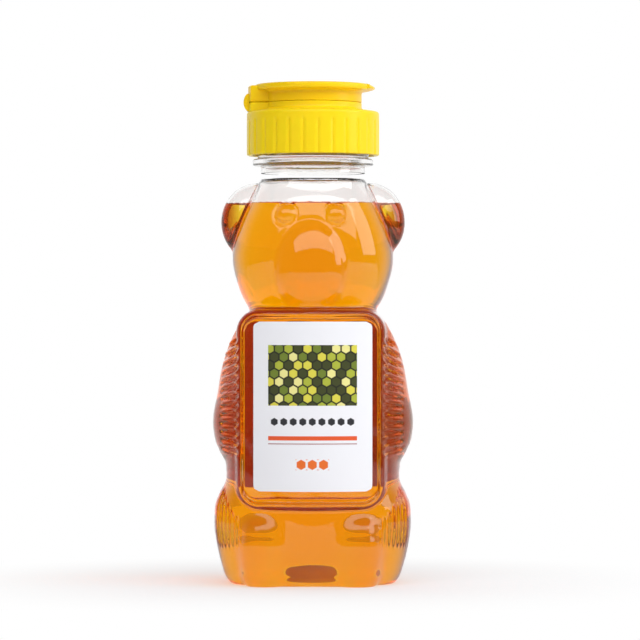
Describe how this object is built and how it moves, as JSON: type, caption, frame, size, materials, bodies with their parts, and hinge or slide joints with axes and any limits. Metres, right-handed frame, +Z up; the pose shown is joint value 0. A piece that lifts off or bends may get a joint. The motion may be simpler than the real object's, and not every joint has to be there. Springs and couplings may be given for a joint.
{
  "type": "honey bear bottle",
  "caption": "Clear bear-shaped squeeze bottle of honey with a ribbed screw cap and a hinged flip-top lid.",
  "frame": {"origin": "on the floor under the middle of the bottle's base", "axes": "+Z up through the neck, -Y the way the bear faces, -X towards the lid's hinge"},
  "size_m": [0.0622, 0.0517, 0.1542],
  "materials": {
    "clear_shell": "clear blow-moulded PET",
    "honey": "clear amber honey",
    "printed_label": null,
    "plain_label": "coated white paper, blank",
    "liner_foam": "fine foam",
    "closure_plastic": "injection-moulded polypropylene, semi-gloss"
  },
  "bodies": {
    "shell": {"bottle": "clear_shell", "honey": "honey", "label_front": "printed_label", "label_back": "plain_label"},
    "seal": {"liner": "liner_foam"},
    "cap": {"cap_base": "closure_plastic", "hinge_strap": "closure_plastic"},
    "lid": {"flip_lid": "closure_plastic"}
  },
  "joints": [
    {"name": "cap_rise", "type": "slide", "parent": "shell", "child": "seal", "axis": [0, 0, 1], "range_m": [0, 0.0128]},
    {"name": "cap_turn", "type": "hinge", "parent": "seal", "child": "cap", "pos_m": [0, 0, 0.144], "axis": [0, 0, 1], "range_deg": [0, 1080]},
    {"name": "lid_flip", "type": "hinge", "parent": "cap", "child": "lid", "pos_m": [-0.0205, 0, 0.14855], "axis": [0, -1, 0], "range_deg": [0, 175], "deforming": ["hinge_strap"]}
  ],
  "couplings": [
    {"joint": "cap_rise", "follows": "cap_turn", "m_per_rad": 0.00067376}
  ]
}
